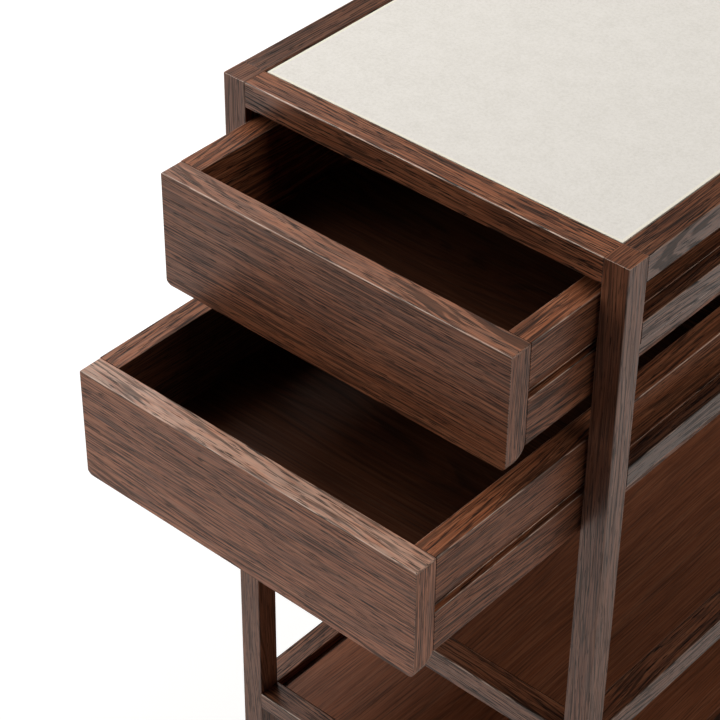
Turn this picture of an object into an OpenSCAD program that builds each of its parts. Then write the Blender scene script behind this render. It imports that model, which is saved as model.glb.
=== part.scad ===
// Utility trolley: an open oak frame with an inset top panel, two drawers that slide on
// side runners, two shelves and four swivel castors.
// Millimetres, +Z up, drawers open towards -Y. The origin lies on the floor, in the middle
// of the footprint with the drawers pulled out as they are stored.

/* [Overall size] */
// Width across the posts
trolley_w = 480; // [420:10:600]
// Depth over the posts, without the pulled drawers
trolley_d = 620; // [600:10:700]
// Height of the top of the posts above the floor
trolley_h = 950; // [900:10:1000]

/* [Frame] */
// Side of the square posts, and thickness of the rails between them
post_w = 28; // [26:1:34]
// Height of the four rails round the top
top_rail_h = 28; // [26:1:34]
// Bevel along the edges of the oak
edge_bevel = 1.2; // [0.6:0.1:1.6]
// Bevel round the butting ends of the oak
end_bevel = 0.3; // [0.2:0.1:0.5]
// Thickness of the tenons on the rails
tenon_t = 8; // [6:1:10]
// Shoulder above and below a tenon
tenon_shoulder = 5; // [3:0.5:6]
// Timber left between a tenon's end and what it points at
tenon_wall = 1; // [0.6:0.2:2]
// Clearance round a tenon in its mortise
tenon_fit = 0.1; // [0.05:0.05:0.2]

/* [Top panel] */
// Thickness of the pale top panel
top_panel_t = 12; // [8:1:14]
// Depth of the panel's face below the rails
top_recess = 1; // [0.4:0.2:2]
// Joint between the panel and the rails round it
top_gap = 1.2; // [0.5:0.1:2]
// Bevel round the face of the panel
panel_bevel = 1; // [0.4:0.2:1.6]

/* [Side laths] */
// Thickness of the laths that carry the runners
lath_t = 8; // [7:0.5:12]
// Height of the upper lath above its lip
upper_lath_h = 24; // [20:1:32]
// Height of the lower lath
lower_lath_h = 24; // [20:1:30]
// Top of the upper lath above the runner groove
upper_lath_rise = 22.7; // [20:0.1:26]
// Top of the lower lath above the runner groove
lower_lath_rise = 24.3; // [20:0.1:26]
// Height of the lip under the upper lath
lip_h = 11.7; // [6:0.1:14]
// Depth of the lip behind the lath's face
lip_recess = 2; // [1:0.5:3]
// Thickness of the tenons on the laths
lath_tenon_t = 4; // [3:0.5:5]
// Open joint between a side lath's face and the posts
lath_joint = 0.6; // [0.2:0.1:1]

/* [Shelves] */
// Height of the middle shelf's top above the floor
mid_shelf_top = 362; // [320:2:460]
// Height of the middle shelf's rails
mid_rail_h = 30; // [26:1:36]
// Height of the lower shelf's top above the floor
low_shelf_top = 120; // [96:2:160]
// Height of the lower shelf's rails
low_rail_h = 24; // [24:1:28]
// Thickness of the shelf boards
shelf_t = 12; // [9:1:13]
// Joint between the middle shelf board and its rails
shelf_gap = 0.4; // [0.2:0.1:1]
// Slot between the lower shelf board and its side rails
low_slot_w = 14; // [6:1:18]
// Width of the cleats under the boards
cleat_w = 12; // [8:1:16]
// Height of the cleats under the boards
cleat_h = 10; // [8:1:11]

/* [Drawers] */
// Play between a drawer and the posts, each side
drawer_gap = 3.4; // [2.4:0.2:6]
// Length of a drawer over all
drawer_l = 560; // [440:10:570]
// Thickness of a drawer front
front_t = 26.5; // [22:0.5:30]
// Height of a drawer front
front_h = 128; // [110:1:132]
// Length of the finger lip under a drawer's sides
finger_lip = 15; // [10:1:18]
// Thickness of a drawer side
side_t = 25.5; // [20:0.5:28]
// Thickness of a drawer back
back_t = 16; // [12:1:20]
// Thickness of a drawer bottom
bottom_t = 8; // [6:1:10]
// Height of the bottom above the sides' lower edges
bottom_lift = 10; // [8:1:14]
// Depth of the groove that holds the bottom
bottom_housing = 6; // [4:0.5:8]
// Play of the bottom in its groove
bottom_play = 0.2; // [0.1:0.1:0.4]
// Radius of the upper corners of a front
front_top_r = 3; // [1.5:0.5:4]
// Radius of the lower corners of a front
front_low_r = 7; // [4:0.5:10]
// Top of the upper drawer below the top of the posts
upper_drawer_drop = 42; // [38:1:46]
// Distance from the upper drawer to the lower one
drawer_pitch = 165; // [160:1:180]
// How far the upper drawer stands out as stored
upper_pull = 118; // [60:2:180]
// How far the lower drawer stands out as stored
lower_pull = 236; // [200:2:300]

/* [Runners] */
// Top of the upper drawer's groove below its side's top edge
upper_groove_drop = 53; // [50:0.5:58]
// Top of the lower drawer's groove below its side's top edge
lower_groove_drop = 57.5; // [54:0.5:60]
// Height of a runner groove
groove_h = 8.5; // [7:0.5:10]
// Depth of a runner groove
groove_d = 9; // [6:0.5:12]
// Play between a runner and its groove, above and below
runner_play = 0.3; // [0.25:0.05:0.5]
// Play between a runner's tongue and the bottom of its groove
runner_end_play = 0.8; // [0.4:0.1:2]
// Thickness of a runner's web behind its lath
web_t = 12; // [8:1:16]
// Height of a runner's web above its tongue
web_rise = 8.5; // [6:0.5:10]
// Bevel along the edges of a runner
runner_bevel = 0.6; // [0.3:0.1:1]

/* [Castors] */
// Height of a castor from the floor to the post
castor_h = 48; // [46:1:60]
// Diameter of a wheel over its tyre
wheel_d = 38; // [32:1:38]
// Width of a wheel
wheel_w = 14; // [10:1:18]
// Thickness of a tyre
tyre_t = 4; // [3:0.5:5]
// Thickness of a wheel's rim under its tyre
rim_t = 2; // [1.5:0.5:3]
// Distance of the rim's edges inside the tyre's
rim_inset = 1; // [0.5:0.5:2]
// Thickness of the disc between hub and rim
disc_t = 7; // [4:0.5:8]
// Wall of a wheel's hub round its bore
hub_wall = 2.5; // [2:0.5:4]
// How far a hub stands out of its wheel on each side
hub_proud = 0.8; // [0.4:0.1:1.2]
// Distance of a wheel's axle behind its swivel
castor_trail = 16; // [12:1:20]
// Diameter of a castor's stem
stem_d = 8; // [6:0.5:9]
// Diameter of the sleeve in the post
sleeve_d = 11; // [10.5:0.5:13]
// Length of the sleeve inside the post
sleeve_l = 20; // [16:1:24]
// Depth of the stem's end inside the sleeve's
stem_short = 1; // [0.5:0.5:3]
// Diameter of the sleeve's flange and of the fork's crown
flange_d = 22; // [18:1:24]
// Thickness of the sleeve's flange
flange_t = 2; // [1.5:0.5:3]
// Thickness of the fork's crown plate
crown_t = 3.5; // [3:0.5:4]
// Thickness of a fork leg
leg_t = 2.5; // [2:0.5:3]
// Length of a fork leg where it leaves the crown
leg_top = 12; // [10:1:14]
// Radius of a fork leg round the axle
eye_r = 6; // [5:0.5:7]
// Diameter of an axle
axle_d = 5; // [4:0.5:6]
// Diameter of an axle's heads
head_d = 8; // [7:0.5:10]
// Thickness of an axle's heads
head_t = 1.5; // [1:0.5:2]
// Radial clearance of a turning pin
pin_fit = 0.05; // [0.03:0.01:0.08]
// Side clearance between turning faces
face_fit = 0.3; // [0.25:0.05:0.5]

/* [Hidden] */
$fn = 64;
oak = [0.29, 0.18, 0.14];
oak_light = [0.40, 0.29, 0.23];
oak_inner = [0.22, 0.11, 0.07];
panel_white = [0.91, 0.88, 0.84];
castor_metal = [0.22, 0.20, 0.18];
castor_rubber = [0.10, 0.10, 0.10];
// Overlap of a cutting solid past the face that it cuts
cut = 1;

// Front and rear faces of the frame, and its clear inside
front_y = (lower_pull - trolley_d) / 2;
rear_y = front_y + trolley_d;
inner_w = trolley_w - 2 * post_w;
inner_d = trolley_d - 2 * post_w;
inner_y = front_y + post_w;
mid_y = (front_y + rear_y) / 2;
post_x = (trolley_w - post_w) / 2;
lath_x = (trolley_w - lath_t) / 2;
front_post_y = front_y + post_w / 2;
rear_post_y = rear_y - post_w / 2;
// A tenon stops short of the castor sleeve and of the tenon that meets it
tenon_l = post_w / 2 - max(tenon_t, sleeve_d) / 2 - tenon_wall;

// Undersides of the rails and laths
top_rail_z = trolley_h - top_rail_h;
mid_rail_z = mid_shelf_top - mid_rail_h;
low_rail_z = low_shelf_top - low_rail_h;
upper_drawer_z = trolley_h - upper_drawer_drop;
lower_drawer_z = upper_drawer_z - drawer_pitch;
upper_groove_z = upper_drawer_z - upper_groove_drop;
lower_groove_z = lower_drawer_z - lower_groove_drop;
upper_lath_z = upper_groove_z + upper_lath_rise - upper_lath_h;
lower_lath_z = lower_groove_z + lower_lath_rise - lower_lath_h;

// Undersides of the boards, which rest on the cleats
top_panel_z = trolley_h - top_recess - top_panel_t;
mid_board_z = mid_shelf_top - shelf_t;
low_board_z = low_shelf_top - shelf_t;

// Drawers
drawer_w = inner_w - 2 * drawer_gap;
drawer_in_w = drawer_w - 2 * side_t;
side_h = front_h - finger_lip;
side_l = drawer_l - front_t;
back_z = bottom_lift + bottom_t;
tongue_h = groove_h - 2 * runner_play;
tongue_x = drawer_w / 2 - groove_d + runner_end_play;

// Castors
axle_z = wheel_d / 2;
flange_z = castor_h - flange_t;
crown_z = flange_z - face_fit - crown_t;
stem_l = sleeve_l + flange_t - stem_short;
hub_w = wheel_w + 2 * hub_proud;
leg_x = hub_w / 2 + face_fit;
rim_r = wheel_d / 2 - tyre_t;

// Basic shapes

// A rectangle with bevelled corners
module bevel_rect(w, h, bevel) {
    polygon([[bevel, 0], [w - bevel, 0], [w, bevel], [w, h - bevel],
        [w - bevel, h], [bevel, h], [0, h - bevel], [0, bevel]]);
}

// Carries a profile along X: its own axes become Y and Z
module along_x(length) {
    rotate([90, 0, 90]) linear_extrude(length) children();
}

// Carries a profile along Y: its own axes become X and Z
module along_y(length) {
    translate([0, length, 0]) rotate([90, 0, 0]) linear_extrude(length) children();
}

// A board with its own bevel for the edges that run along X, Y and Z
module board(size, bevels) {
    intersection() {
        along_x(size.x) bevel_rect(size.y, size.z, bevels.x);
        along_y(size.y) bevel_rect(size.x, size.z, bevels.y);
        linear_extrude(size.z) bevel_rect(size.x, size.y, bevels.z);
    }
}

// What a rounded corner at the origin takes away
module corner_cut(r) {
    difference() {
        translate([-cut, -cut]) square(r + cut);
        translate([r, r]) circle(r);
    }
}

// Tenons

// A bar across the frame whose two ends are a rail's tenons
module tenon_bar_x(y, t, z, h, clear = 0) {
    size = [inner_w + 2 * (tenon_l + clear), t + 2 * clear, h - 2 * (tenon_shoulder - clear)];
    translate([0, y, z + h / 2]) cube(size, center = true);
}

// The same from front to back
module tenon_bar_y(x, t, z, h, clear = 0) {
    size = [t + 2 * clear, inner_d + 2 * (tenon_l + clear), h - 2 * (tenon_shoulder - clear)];
    translate([x, mid_y, z + h / 2]) cube(size, center = true);
}

// Every mortise of the frame
module mortises() {
    levels = [[top_rail_z, top_rail_h], [mid_rail_z, mid_rail_h], [low_rail_z, low_rail_h]];
    for (level = levels, y = [front_post_y, rear_post_y]) {
        tenon_bar_x(y, tenon_t, level[0], level[1], tenon_fit);
    }
    for (level = levels, side = [-1, 1]) {
        tenon_bar_y(side * post_x, tenon_t, level[0], level[1], tenon_fit);
    }
    for (level = [[upper_lath_z, upper_lath_h], [lower_lath_z, lower_lath_h]]) {
        tenon_bar_x(rear_y - lath_t / 2, lath_tenon_t, level[0], level[1], tenon_fit);
        for (side = [-1, 1]) {
            tenon_bar_y(side * lath_x, lath_tenon_t, level[0], level[1], tenon_fit);
        }
    }
}

// Frame

// A post with its mortises and the bore for the castor sleeve
module post(x, y) {
    color(oak) difference() {
        translate([x - post_w / 2, y - post_w / 2, castor_h])
            board([post_w, post_w, trolley_h - castor_h], [edge_bevel, edge_bevel, edge_bevel]);
        mortises();
        translate([x, y, castor_h - cut]) cylinder(h = sleeve_l + 2 * cut, d = sleeve_d + 2 * tenon_fit);
    }
}
module front_left_post() post(-post_x, front_post_y);
module front_right_post() post(post_x, front_post_y);
module rear_left_post() post(-post_x, rear_post_y);
module rear_right_post() post(post_x, rear_post_y);

// A rail between two posts of the front or the back
module rail_x(y, z, h) {
    color(oak) union() {
        translate([-inner_w / 2, y - post_w / 2, z])
            board([inner_w, post_w, h], [edge_bevel, end_bevel, end_bevel]);
        tenon_bar_x(y, tenon_t, z, h);
    }
}

// A rail between a front and a rear post
module rail_y(x, z, h) {
    color(oak_light) union() {
        translate([x - post_w / 2, inner_y, z])
            board([post_w, inner_d, h], [end_bevel, edge_bevel, end_bevel]);
        tenon_bar_y(x, tenon_t, z, h);
    }
}
module top_front_rail() rail_x(front_post_y, top_rail_z, top_rail_h);
module top_rear_rail() rail_x(rear_post_y, top_rail_z, top_rail_h);
module top_left_rail() rail_y(-post_x, top_rail_z, top_rail_h);
module top_right_rail() rail_y(post_x, top_rail_z, top_rail_h);
module mid_front_rail() rail_x(front_post_y, mid_rail_z, mid_rail_h);
module mid_rear_rail() rail_x(rear_post_y, mid_rail_z, mid_rail_h);
module mid_left_rail() rail_y(-post_x, mid_rail_z, mid_rail_h);
module mid_right_rail() rail_y(post_x, mid_rail_z, mid_rail_h);
module low_front_rail() rail_x(front_post_y, low_rail_z, low_rail_h);
module low_rear_rail() rail_x(rear_post_y, low_rail_z, low_rail_h);
module low_left_rail() rail_y(-post_x, low_rail_z, low_rail_h);
module low_right_rail() rail_y(post_x, low_rail_z, low_rail_h);

// A thin lath flush with the posts' outer faces; its lip hangs below, set back from the face
module lath_y(side, z, h, lip) {
    color(oak_light) union() {
        translate([side * lath_x - lath_t / 2, inner_y + lath_joint, z])
            board([lath_t, inner_d - 2 * lath_joint, h], [end_bevel, edge_bevel, end_bevel]);
        tenon_bar_y(side * lath_x, lath_tenon_t, z, h);
        if (lip > 0) {
            lip_t = lath_t - lip_recess;
            translate([side * (trolley_w / 2 - lip_recess - lip_t / 2) - lip_t / 2, inner_y, z - lip])
                board([lip_t, inner_d, lip + h / 2], [end_bevel, end_bevel, end_bevel]);
        }
    }
}
module lath_x_rear(z, h) {
    color(oak) union() {
        translate([-inner_w / 2, rear_y - lath_t, z])
            board([inner_w, lath_t, h], [edge_bevel, end_bevel, end_bevel]);
        tenon_bar_x(rear_y - lath_t / 2, lath_tenon_t, z, h);
    }
}
module upper_left_lath() lath_y(-1, upper_lath_z, upper_lath_h, lip_h);
module upper_right_lath() lath_y(1, upper_lath_z, upper_lath_h, lip_h);
module upper_rear_lath() lath_x_rear(upper_lath_z, upper_lath_h);
module lower_left_lath() lath_y(-1, lower_lath_z, lower_lath_h, 0);
module lower_right_lath() lath_y(1, lower_lath_z, lower_lath_h, 0);
module lower_rear_lath() lath_x_rear(lower_lath_z, lower_lath_h);

// A runner: a web against the lath and a tongue that reaches into the drawer's groove
module runner(side, groove_z) {
    web_x = trolley_w / 2 - lath_t - web_t;
    tongue_z = groove_z - runner_play - tongue_h;
    color(oak_inner) mirror([side < 0 ? 1 : 0, 0, 0]) union() {
        translate([tongue_x, inner_y, tongue_z])
            board([web_x + web_t - tongue_x, inner_d, tongue_h], [end_bevel, runner_bevel, end_bevel]);
        translate([web_x, inner_y, tongue_z])
            board([web_t, inner_d, tongue_h + web_rise], [end_bevel, runner_bevel, end_bevel]);
    }
}
module upper_left_runner() runner(-1, upper_groove_z);
module upper_right_runner() runner(1, upper_groove_z);
module lower_left_runner() runner(-1, lower_groove_z);
module lower_right_runner() runner(1, lower_groove_z);

// Top panel and shelves

// Cleats against the rails that a board rests on, one along each rail; those at the sides have
// their own width
module cleats(board_z, side_w) {
    bevels = [end_bevel, end_bevel, end_bevel];
    side_l = inner_d - 2 * (cleat_w + shelf_gap);
    for (y = [inner_y, inner_y + inner_d - cleat_w]) {
        translate([-inner_w / 2, y, board_z - cleat_h]) board([inner_w, cleat_w, cleat_h], bevels);
    }
    for (x = [-inner_w / 2, inner_w / 2 - side_w]) {
        translate([x, inner_y + cleat_w + shelf_gap, board_z - cleat_h])
            board([side_w, side_l, cleat_h], bevels);
    }
}
module top_panel() {
    size = [inner_w - 2 * top_gap, inner_d - 2 * top_gap, top_panel_t];
    color(panel_white) translate([top_gap - inner_w / 2, inner_y + top_gap, top_panel_z])
        board(size, [panel_bevel, panel_bevel, panel_bevel]);
}
module top_cleats() color(oak_inner) cleats(top_panel_z, cleat_w);

// A shelf board between the rails, with its own gap at the sides
module shelf_board(z, side_gap) {
    color(oak_inner) translate([side_gap - inner_w / 2, inner_y + shelf_gap, z])
        board([inner_w - 2 * side_gap, inner_d - 2 * shelf_gap, shelf_t], [end_bevel, end_bevel, end_bevel]);
}
module mid_shelf_board() shelf_board(mid_board_z, shelf_gap);
module mid_shelf_cleats() color(oak_inner) cleats(mid_board_z, cleat_w);
module low_shelf_board() shelf_board(low_board_z, low_slot_w);
module low_shelf_cleats() color(oak_inner) cleats(low_board_z, low_slot_w + cleat_w);

// Drawers

// Section of a drawer front: its foot is rounded at the back for the fingers
module front_profile() {
    difference() {
        bevel_rect(front_t, front_h, edge_bevel);
        translate([front_t, 0]) mirror([1, 0]) corner_cut(finger_lip);
    }
}

// Face of a drawer front, with small upper and larger lower corner radii
module front_outline() {
    difference() {
        square([drawer_w, front_h]);
        corner_cut(front_low_r);
        translate([drawer_w, 0]) mirror([1, 0]) corner_cut(front_low_r);
        translate([0, front_h]) mirror([0, 1]) corner_cut(front_top_r);
        translate([drawer_w, front_h]) mirror([1, 0]) mirror([0, 1]) corner_cut(front_top_r);
    }
}
module drawer_front(z, pull) {
    color(oak) translate([-drawer_w / 2, front_y - pull, z - front_h]) difference() {
        intersection() {
            along_x(drawer_w) front_profile();
            along_y(front_t) front_outline();
            linear_extrude(front_h) bevel_rect(drawer_w, front_t, edge_bevel);
        }
        translate([side_t - bottom_housing, front_t - bottom_housing, finger_lip + bottom_lift])
            cube([drawer_in_w + 2 * bottom_housing, bottom_housing + cut, bottom_t + bottom_play]);
    }
}

// Section of the left side, outer face at 0: the runner groove outside, the bottom's inside
module side_profile(groove_drop) {
    b = edge_bevel;
    groove_top = side_h - groove_drop;
    groove_low = groove_top - groove_h;
    housing_top = bottom_lift + bottom_t + bottom_play;
    polygon([[b, 0], [side_t - b, 0], [side_t, b],
        [side_t, bottom_lift], [side_t - bottom_housing, bottom_lift],
        [side_t - bottom_housing, housing_top], [side_t, housing_top],
        [side_t, side_h - b], [side_t - b, side_h], [b, side_h], [0, side_h - b],
        [0, groove_top + b], [b, groove_top], [groove_d, groove_top],
        [groove_d, groove_low], [b, groove_low], [0, groove_low - b], [0, b]]);
}
module drawer_side(side, z, pull, groove_drop) {
    color(oak_light) mirror([side > 0 ? 1 : 0, 0, 0])
        translate([-drawer_w / 2, front_y - pull + front_t, z - side_h])
            along_y(side_l) side_profile(groove_drop);
}
module drawer_back(z, pull) {
    color(oak_inner) translate([-drawer_in_w / 2, front_y - pull + drawer_l - back_t, z - side_h + back_z])
        board([drawer_in_w, back_t, side_h - back_z], [edge_bevel, end_bevel, end_bevel]);
}
module drawer_bottom(z, pull) {
    reach = bottom_housing - bottom_play;
    color(oak_inner)
        translate([-drawer_in_w / 2 - reach, front_y - pull + front_t - reach, z - side_h + bottom_lift])
            cube([drawer_in_w + 2 * reach, side_l + reach, bottom_t]);
}
module upper_drawer_front() drawer_front(upper_drawer_z, upper_pull);
module upper_drawer_left_side() drawer_side(-1, upper_drawer_z, upper_pull, upper_groove_drop);
module upper_drawer_right_side() drawer_side(1, upper_drawer_z, upper_pull, upper_groove_drop);
module upper_drawer_back() drawer_back(upper_drawer_z, upper_pull);
module upper_drawer_bottom() drawer_bottom(upper_drawer_z, upper_pull);
module lower_drawer_front() drawer_front(lower_drawer_z, lower_pull);
module lower_drawer_left_side() drawer_side(-1, lower_drawer_z, lower_pull, lower_groove_drop);
module lower_drawer_right_side() drawer_side(1, lower_drawer_z, lower_pull, lower_groove_drop);
module lower_drawer_back() drawer_back(lower_drawer_z, lower_pull);
module lower_drawer_bottom() drawer_bottom(lower_drawer_z, lower_pull);

// Castors

// Sleeves pressed into the posts, each with a flange under the post's end
module castor_sleeves() {
    color(castor_metal) for (x = [-post_x, post_x], y = [front_post_y, rear_post_y]) {
        translate([x, y, flange_z]) difference() {
            union() {
                cylinder(h = flange_t, d = flange_d);
                cylinder(h = flange_t + sleeve_l, d = sleeve_d);
            }
            translate([0, 0, -cut]) cylinder(h = flange_t + sleeve_l + 2 * cut, d = stem_d + 2 * pin_fit);
        }
    }
}

// Where a line from a point touches a circle
function touch_point(p, centre, r, turn) =
    let (d = p - centre, a = atan2(d.y, d.x) + turn * acos(r / norm(d)))
    centre + r * [cos(a), sin(a)];

// Outline of a fork leg, swept back from the crown to the axle
module leg_outline() {
    eye = [castor_trail, axle_z];
    front = [-leg_top / 2, crown_z + crown_t];
    back = [leg_top / 2, crown_z + crown_t];
    difference() {
        union() {
            polygon([front, touch_point(front, eye, eye_r, 1), eye, touch_point(back, eye, eye_r, -1), back]);
            translate(eye) circle(eye_r);
        }
        translate(eye) circle(d = axle_d + 2 * pin_fit);
    }
}

// Puts a castor's piece under its post; the wheel trails towards the middle of the trolley
module at_castor(x, y) {
    translate([x, y, 0]) rotate([0, 0, y > mid_y ? 180 : 0]) children();
}
module fork(x, y) {
    color(castor_metal) at_castor(x, y) union() {
        translate([0, 0, crown_z + crown_t / 2]) cylinder(h = stem_l + crown_t / 2, d = stem_d);
        translate([0, 0, crown_z]) cylinder(h = crown_t, d = flange_d);
        for (leg = [-leg_x - leg_t, leg_x]) translate([leg, 0, 0]) along_x(leg_t) leg_outline();
    }
}
module front_left_fork() fork(-post_x, front_post_y);
module front_right_fork() fork(post_x, front_post_y);
module rear_left_fork() fork(-post_x, rear_post_y);
module rear_right_fork() fork(post_x, rear_post_y);

// An axle across the fork, with a flat head outside each leg
module axle(x, y) {
    reach = leg_x + leg_t;
    color(castor_metal) at_castor(x, y) translate([0, castor_trail, axle_z]) rotate([0, 90, 0]) union() {
        cylinder(h = 2 * reach, d = axle_d, center = true);
        for (z = [-reach - head_t, reach]) translate([0, 0, z]) cylinder(h = head_t, d = head_d);
    }
}
module front_left_axle() axle(-post_x, front_post_y);
module front_right_axle() axle(post_x, front_post_y);
module rear_left_axle() axle(-post_x, rear_post_y);
module rear_right_axle() axle(post_x, rear_post_y);

// Section of a wheel: hub, thin disc and rim
module wheel_section() {
    bore_r = axle_d / 2 + pin_fit;
    rim_w = wheel_w - 2 * rim_inset;
    translate([bore_r, -hub_w / 2]) square([hub_wall, hub_w]);
    translate([bore_r, -disc_t / 2]) square([rim_r - bore_r, disc_t]);
    translate([rim_r - rim_t, -rim_w / 2]) square([rim_t, rim_w]);
}
module wheel(x, y) {
    color(castor_rubber) at_castor(x, y) translate([0, castor_trail, axle_z]) rotate([0, 90, 0])
        rotate_extrude() wheel_section();
}
module front_left_wheel() wheel(-post_x, front_post_y);
module front_right_wheel() wheel(post_x, front_post_y);
module rear_left_wheel() wheel(-post_x, rear_post_y);
module rear_right_wheel() wheel(post_x, rear_post_y);

// A tyre with rounded shoulders
module tyre(x, y) {
    shoulder = tyre_t / 2;
    color(castor_rubber) at_castor(x, y) translate([0, castor_trail, axle_z]) rotate([0, 90, 0])
        rotate_extrude() {
            translate([rim_r + pin_fit, -wheel_w / 2]) square([shoulder, wheel_w]);
            translate([rim_r + pin_fit, shoulder - wheel_w / 2])
                square([tyre_t - pin_fit, wheel_w - 2 * shoulder]);
            for (z = [-1, 1]) {
                translate([wheel_d / 2 - shoulder, z * (wheel_w / 2 - shoulder)]) circle(shoulder);
            }
        }
}
module front_left_tyre() tyre(-post_x, front_post_y);
module front_right_tyre() tyre(post_x, front_post_y);
module rear_left_tyre() tyre(-post_x, rear_post_y);
module rear_right_tyre() tyre(post_x, rear_post_y);

front_left_post();
front_right_post();
rear_left_post();
rear_right_post();
top_front_rail();
top_rear_rail();
top_left_rail();
top_right_rail();
top_panel();
top_cleats();
upper_left_lath();
upper_right_lath();
upper_rear_lath();
lower_left_lath();
lower_right_lath();
lower_rear_lath();
upper_left_runner();
upper_right_runner();
lower_left_runner();
lower_right_runner();
mid_front_rail();
mid_rear_rail();
mid_left_rail();
mid_right_rail();
mid_shelf_board();
mid_shelf_cleats();
low_front_rail();
low_rear_rail();
low_left_rail();
low_right_rail();
low_shelf_board();
low_shelf_cleats();
upper_drawer_front();
upper_drawer_left_side();
upper_drawer_right_side();
upper_drawer_back();
upper_drawer_bottom();
lower_drawer_front();
lower_drawer_left_side();
lower_drawer_right_side();
lower_drawer_back();
lower_drawer_bottom();
castor_sleeves();
front_left_fork();
front_right_fork();
rear_left_fork();
rear_right_fork();
front_left_axle();
front_right_axle();
rear_left_axle();
rear_right_axle();
front_left_wheel();
front_right_wheel();
rear_left_wheel();
rear_right_wheel();
front_left_tyre();
front_right_tyre();
rear_left_tyre();
rear_right_tyre();
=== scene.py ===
import math
import bpy
import numpy as np
from mathutils import Matrix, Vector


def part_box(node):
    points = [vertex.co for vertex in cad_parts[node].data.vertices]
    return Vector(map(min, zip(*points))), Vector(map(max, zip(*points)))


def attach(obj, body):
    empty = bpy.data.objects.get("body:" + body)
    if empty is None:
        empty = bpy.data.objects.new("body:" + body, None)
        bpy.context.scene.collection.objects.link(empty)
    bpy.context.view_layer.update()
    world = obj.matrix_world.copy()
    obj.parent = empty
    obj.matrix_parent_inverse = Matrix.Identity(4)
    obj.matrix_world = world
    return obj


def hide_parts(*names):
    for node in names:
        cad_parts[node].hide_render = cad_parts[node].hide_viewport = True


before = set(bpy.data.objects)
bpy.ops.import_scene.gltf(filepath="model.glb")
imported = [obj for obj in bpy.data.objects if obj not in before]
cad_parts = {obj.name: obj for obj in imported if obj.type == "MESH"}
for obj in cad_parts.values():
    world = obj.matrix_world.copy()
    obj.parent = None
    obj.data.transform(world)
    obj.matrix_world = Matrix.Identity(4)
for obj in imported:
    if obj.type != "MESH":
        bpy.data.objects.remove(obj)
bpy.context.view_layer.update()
mm = 0.001
perMetre = 1000.0      # mm in a metre, because the shaders work in mm


# camera

view = {
    "place": (1.14194, -1.57137, 2.13594),
    "azimuth": 41.154,    # degrees round the trolley, 0 looks along +Y
    "elevation": 38.220,
    "roll": 0.494,
    "lens": 118.71,       # mm
    "sensor": 36.0,       # mm wide
    "reach": 60.0,        # metres
}


def standAt(place, across, upward, back):
    matrix = Matrix.Identity(4)
    for column, vector in enumerate((across, upward, back, place)):
        for row in range(3):
            matrix[row][column] = float(vector[row])
    return matrix


# Three unit vectors, to the right, up and back, turned by the roll about the back one.
def placeCamera(values):
    turn, rise, roll = (math.radians(values[k]) for k in ("azimuth", "elevation", "roll"))
    back = np.array([math.sin(turn) * math.cos(rise), -math.cos(turn) * math.cos(rise), math.sin(rise)])
    right = np.cross([0.0, 0.0, 1.0], back)
    right /= np.linalg.norm(right)
    up = np.cross(back, right)
    data = bpy.data.cameras.new("camera")
    data.lens = values["lens"]
    data.sensor_width = values["sensor"]
    data.clip_end = values["reach"]
    camera = bpy.data.objects.new("camera", data)
    bpy.context.scene.collection.objects.link(camera)
    camera.matrix_world = standAt(values["place"], math.cos(roll) * right + math.sin(roll) * up,
                                  math.cos(roll) * up - math.sin(roll) * right, back)
    bpy.context.scene.camera = camera


placeCamera(view)


# shader maths

# A socket that stands in sums and products like a number or a vector.
class Wire:
    def __init__(self, tree, socket):
        self.tree = tree
        self.socket = socket

    def join(self, operation, other, swap=False):
        vector = self.socket.type == "VECTOR" or (isinstance(other, Wire) and other.socket.type == "VECTOR")
        values = (other, self) if swap else (self, other)
        kind = "ShaderNodeVectorMath" if vector else "ShaderNodeMath"
        if vector:
            values = tuple((v, v, v) if isinstance(v, (int, float)) else v for v in values)
        return self.tree.node(kind, {"operation": operation}, {0: values[0], 1: values[1]})

    def __add__(self, other):
        return self.join("ADD", other)

    def __radd__(self, other):
        return self.join("ADD", other, True)

    def __sub__(self, other):
        return self.join("SUBTRACT", other)

    def __rsub__(self, other):
        return self.join("SUBTRACT", other, True)

    def __mul__(self, other):
        return self.join("MULTIPLY", other)

    def __truediv__(self, other):
        return self.join("DIVIDE", other)

    # Another output of the node that this socket belongs to.
    def part(self, name):
        return Wire(self.tree, self.socket.node.outputs[name])

    def only(self, operation):
        return self.tree.node("ShaderNodeMath", {"operation": operation}, {0: self})

    # A soft step from start to end while the value goes from low to high.
    def step(self, low, high, start=0.0, end=1.0):
        return self.tree.node("ShaderNodeMapRange", {"interpolation_type": "SMOOTHSTEP"},
                              {"Value": self, "From Min": low, "From Max": high,
                               "To Min": start, "To Max": end})

    def axes(self):
        split = self.tree.node("ShaderNodeSeparateXYZ", {}, {0: self})
        return split, split.part("Y"), split.part("Z")


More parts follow.
